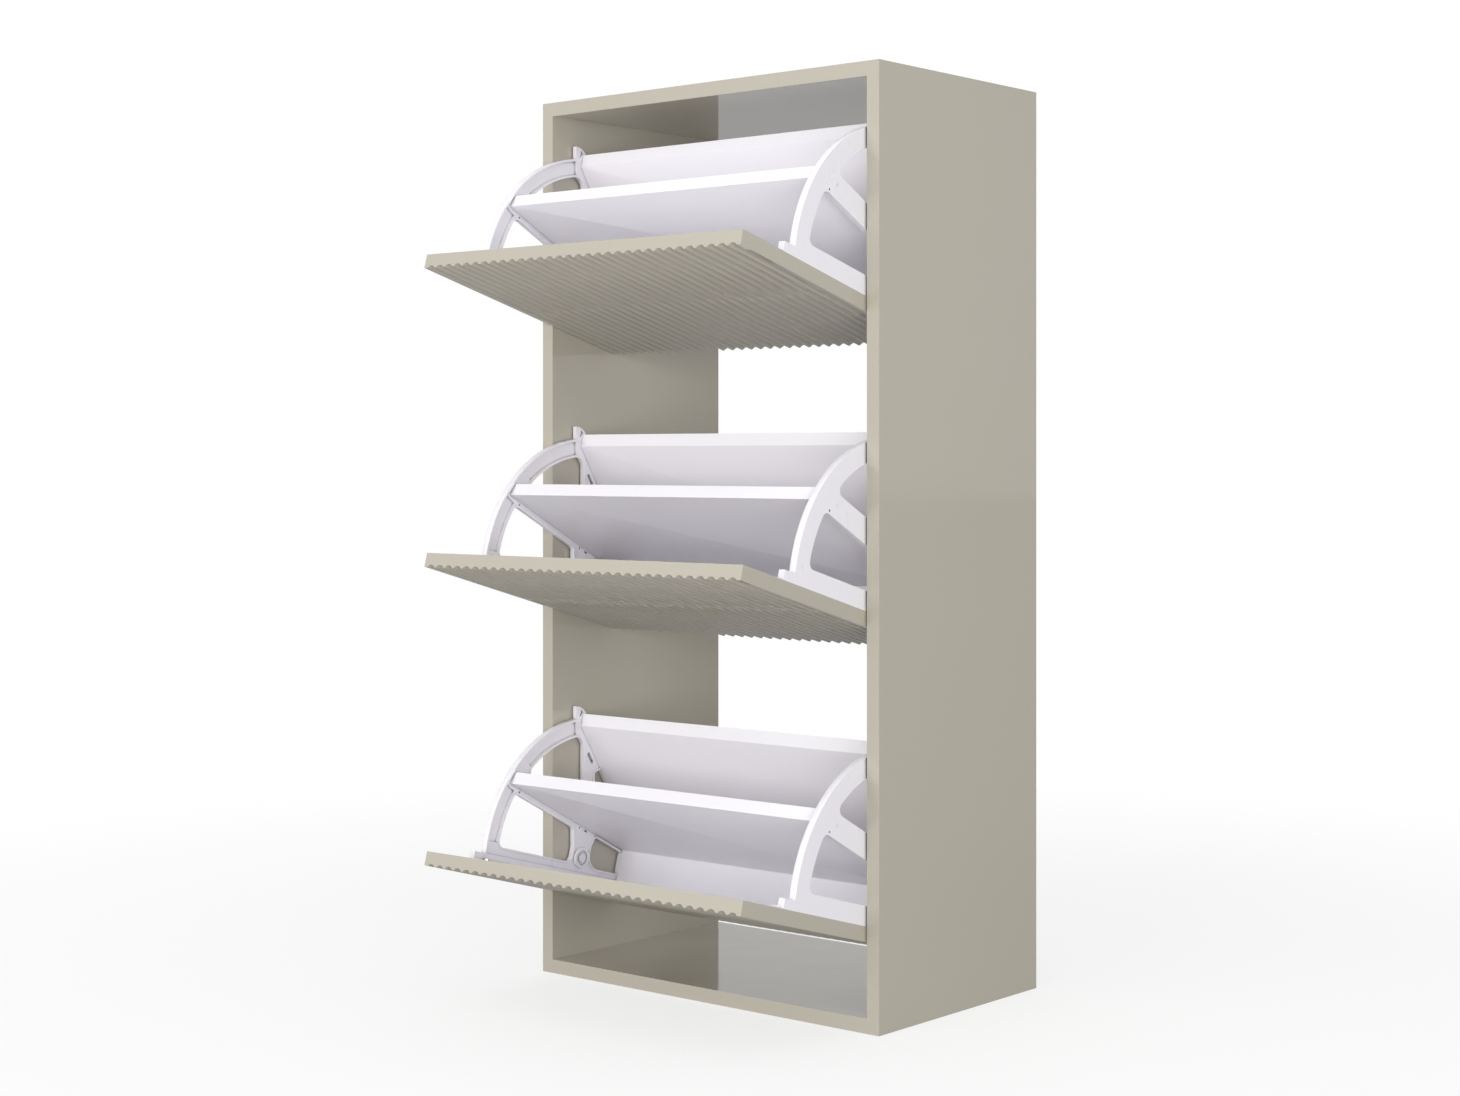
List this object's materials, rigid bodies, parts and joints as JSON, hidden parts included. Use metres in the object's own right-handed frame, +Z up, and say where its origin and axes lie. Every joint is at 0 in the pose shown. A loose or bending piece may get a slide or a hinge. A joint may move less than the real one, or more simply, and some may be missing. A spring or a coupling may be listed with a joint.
{
  "type": "shoe cabinet",
  "caption": "Slim open-backed shoe cabinet with inset fluted tilting flaps, each with slanted pockets for two rows of shoes.",
  "frame": {"origin": "centre of the carcass's underside, on the floor", "axes": "+Z up, -Y out of the front where the flaps open, +X towards the right side seen from the front"},
  "size_m": [0.56, 0.5718, 1.16],
  "materials": {
    "gloss_lacquer": "greige high-gloss lacquer on board",
    "white_moulding": "white satin injection moulding",
    "white_board": "white melamine-faced board",
    "beech_dowel": "ribbed beech, unfinished",
    "zinc_screws": "bright zinc plate",
    "white_screws": "white coated screw heads",
    "steel_pins": "turned steel"
  },
  "bodies": {
    "carcass": {"left_side_panel": "gloss_lacquer", "right_side_panel": "gloss_lacquer", "top_panel": "gloss_lacquer", "bottom_panel": "gloss_lacquer", "bottom_dowels": "beech_dowel", "top_dowels": "beech_dowel", "carcass_screws": "zinc_screws", "bottom_pivot_pins": "steel_pins", "bottom_stop_pins": "steel_pins", "middle_pivot_pins": "steel_pins", "middle_stop_pins": "steel_pins", "top_pivot_pins": "steel_pins", "top_stop_pins": "steel_pins"},
    "bottom_flap": {"bottom_front_panel": "gloss_lacquer", "bottom_left_bracket": "white_moulding", "bottom_right_bracket": "white_moulding", "bottom_divider_board": "white_board", "bottom_back_board": "white_board", "bottom_floor_board": "white_board", "bottom_front_screws": "zinc_screws", "bottom_board_screws": "white_screws"},
    "middle_flap": {"middle_front_panel": "gloss_lacquer", "middle_left_bracket": "white_moulding", "middle_right_bracket": "white_moulding", "middle_divider_board": "white_board", "middle_back_board": "white_board", "middle_floor_board": "white_board", "middle_front_screws": "zinc_screws", "middle_board_screws": "white_screws"},
    "top_flap": {"top_front_panel": "gloss_lacquer", "top_left_bracket": "white_moulding", "top_right_bracket": "white_moulding", "top_divider_board": "white_board", "top_back_board": "white_board", "top_floor_board": "white_board", "top_front_screws": "zinc_screws", "top_board_screws": "white_screws"}
  },
  "joints": [
    {"name": "bottom_flap_tilt", "type": "hinge", "parent": "carcass", "child": "bottom_flap", "pos_m": [0, -0.1455, 0.12802], "axis": [-1, 0, 0], "range_deg": [0, 74.5]},
    {"name": "middle_flap_tilt", "type": "hinge", "parent": "carcass", "child": "middle_flap", "pos_m": [0, -0.1455, 0.50401], "axis": [-1, 0, 0], "range_deg": [0, 74.5]},
    {"name": "top_flap_tilt", "type": "hinge", "parent": "carcass", "child": "top_flap", "pos_m": [0, -0.1455, 0.88001], "axis": [-1, 0, 0], "range_deg": [0, 74.5]}
  ]
}
